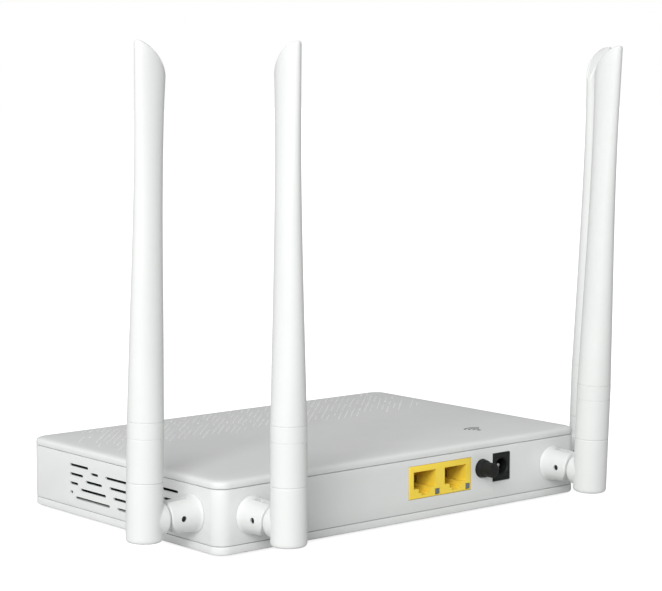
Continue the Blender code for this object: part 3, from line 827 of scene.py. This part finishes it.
def pin_mesh():
    pin = [(-6.0, 0.8), (-5.9, 1.0), (5.9, 1.0), (6.0, 0.8)]
    return shaded(turned("pin", "y", (PIN_OUT, 0, 0), pin, 32))


def copied(source, name, matrix):
    obj = new_object(name, source.data.copy())
    obj.data.transform(matrix)
    return obj


def build_antennas():
    """Four copies of one antenna and its knuckle, placed in the object's own frame."""
    sources = {"blade": blade_mesh(), "sleeve": sleeve_mesh(), "elbow": elbow_mesh()}
    knuckle = knuckle_mesh()
    pin = pin_mesh()
    for key, (x, y, turn, lean) in ANTENNAS.items():
        place = Matrix.Translation(Vector((x, y, KNUCKLE_Z)) * MM)
        place = place @ Matrix.Rotation(math.radians(turn), 4, "Z")
        out = Matrix.Translation(Vector((PIN_OUT, 0, 0)) * MM)
        tilt = place @ out @ Matrix.Rotation(math.radians(lean), 4, "Y")
        for part, cad in (("blade", "radome"), ("sleeve", "tube"), ("elbow", "tube")):
            piece = copied(sources[part], f"{part}_{key}", tilt)
            dress(piece, ANTENNA, f"antenna_{key}", "antenna_plastic", f"ant_{key}_{cad}")
        shell = copied(knuckle, f"knuckle_shell_{key}", place)
        dress(shell, ANTENNA, f"knuckle_{key}", "antenna_plastic", f"ant_{key}_knuckle")
        hinge = copied(pin, f"hinge_pin_{key}", place)
        dress(hinge, BLACK, f"knuckle_{key}", "black_plastic", f"ant_{key}_pin")
    for source in [*sources.values(), knuckle, pin]:
        bpy.data.objects.remove(source, do_unlink=True)


# ---------------------------------------------------------------- inside


def paint_inside():
    """Materials for the CAD nodes that stay."""
    names = {"pcb": BOARD, "processor": CHIP, "magnetics": CHIP}
    names |= {"heatsink": ALUMINIUM, "radio_shield": STEEL}
    names |= {"optical_module": GOLD, "light_guide": CLEAR, "capacitor_1": SLEEVE, "capacitor_2": SLEEVE}
    names |= {"power_switch": BLACK, "wps_switch": BLACK, "reset_switch": BLACK}
    for key in ANTENNAS:
        names[f"coax_{key}"] = COAX
        names[f"ant_{key}_radiator"] = GOLD
    for name, mat in names.items():
        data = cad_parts[name].data
        data.materials.clear()
        data.materials.append(mat)


# ---------------------------------------------------------------- studio

SOFT_SIDE = (0.94, 0.34, 0.2)
SOFT_SLOPE = 0.55
SOFT_LEVEL = 0.46
SHADE_LEVEL = 0.3
PAPER_GLOW = 0.85
FLOOR_REACH = 6000.0
KEY_FROM = (0.70, 0.52, 0.49)
KEY_AWAY = 1.5
KEY_SIZE = 0.6
KEY_POWER = 12.2
CAMERA_AT = (0.5458, 0.6632, 0.1788)
CAMERA_ALONG = (-0.6401, -0.7605, -0.1090)
CAMERA_LENS = 115.19


def reckoned(tree, operation, first, *others):
    """The output of a maths node. Each of the others is a number or another output."""
    made = tree.nodes.new("ShaderNodeMath")
    made.operation = operation
    link(tree, first, made.inputs[0])
    for socket, other in zip(made.inputs[1:], others):
        if isinstance(other, float):
            socket.default_value = other
        else:
            link(tree, other, socket)
    return made.outputs[0]


def seen_only(tree, strength):
    """A strength that counts only where the camera looks straight at the backdrop."""
    rays = tree.nodes.new("ShaderNodeLightPath")
    return reckoned(tree, "MULTIPLY", rays.outputs["Is Camera Ray"], strength)


def paper(name):
    """White paper seen from above, and clear from below so that it never hides the underside."""
    mat = bpy.data.materials.new(name)
    mat.use_nodes = True
    tree = mat.node_tree
    shader = tree.nodes["Principled BSDF"]
    shader.inputs["Base Color"].default_value = (0.6, 0.605, 0.6, 1.0)
    shader.inputs["Roughness"].default_value = 0.9
    shader.inputs["Specular IOR Level"].default_value = 0.0
    shader.inputs["Emission Color"].default_value = (1.0, 1.0, 1.0, 1.0)
    link(tree, seen_only(tree, PAPER_GLOW), shader.inputs["Emission Strength"])
    side = tree.nodes.new("ShaderNodeNewGeometry")
    clear = tree.nodes.new("ShaderNodeBsdfTransparent")
    mixed = tree.nodes.new("ShaderNodeMixShader")
    link(tree, side.outputs["Backfacing"], mixed.inputs[0])
    link(tree, shader.outputs[0], mixed.inputs[1])
    link(tree, clear.outputs[0], mixed.inputs[2])
    link(tree, mixed.outputs[0], tree.nodes["Material Output"].inputs["Surface"])
    return mat


def build_stage():
    bm = bmesh.new()
    corners = ((-1, -1), (1, -1), (1, 1), (-1, 1))
    bm.faces.new([bm.verts.new((FLOOR_REACH * x, FLOOR_REACH * y, 0.0)) for x, y in corners])
    floor = new_object("floor", new_mesh("floor", bm))
    floor.data.materials.append(paper("floor_paper"))


def build_light():
    """A white room whose light comes softly from one side and fades away on the other."""
    world = bpy.data.worlds.new("studio")
    bpy.context.scene.world = world
    world.use_nodes = True
    tree = world.node_tree
    room = tree.nodes["Background"]
    room.inputs["Color"].default_value = (1.0, 1.0, 1.0, 1.0)
    coords = tree.nodes.new("ShaderNodeTexCoord")
    facing = tree.nodes.new("ShaderNodeVectorMath")
    facing.operation = "DOT_PRODUCT"
    facing.inputs[1].default_value = SOFT_SIDE
    link(tree, coords.outputs["Generated"], facing.inputs[0])
    soft = reckoned(tree, "MULTIPLY_ADD", facing.outputs["Value"], SOFT_SLOPE, SOFT_LEVEL)
    seen = reckoned(tree, "MAXIMUM", soft, seen_only(tree, 1.0))
    link(tree, reckoned(tree, "MAXIMUM", seen, SHADE_LEVEL), room.inputs["Strength"])
    key = bpy.data.lights.new("key", "AREA")
    key.size = KEY_SIZE
    key.energy = KEY_POWER
    lamp = new_object("key", key)
    lamp.location = Vector(KEY_FROM).normalized() * KEY_AWAY
    lamp.rotation_euler = (-lamp.location).to_track_quat("-Z", "Y").to_euler()
    bpy.context.scene.view_settings.view_transform = "Standard"


def build_camera():
    data = bpy.data.cameras.new("camera")
    data.sensor_width = 36.0
    data.lens = CAMERA_LENS
    data.clip_start, data.clip_end = 0.05, 50.0
    camera = new_object("camera", data)
    camera.location = CAMERA_AT
    camera.rotation_euler = Vector(CAMERA_ALONG).to_track_quat("-Z", "Y").to_euler()
    bpy.context.scene.camera = camera


build_camera()
build_band()
build_lid()
build_strokes()
build_mark()
build_base()
build_feet()
build_screws()
build_block()
build_jack()
build_button()
build_fibre()
build_side_buttons()
build_antennas()
paint_inside()
build_stage()
build_light()
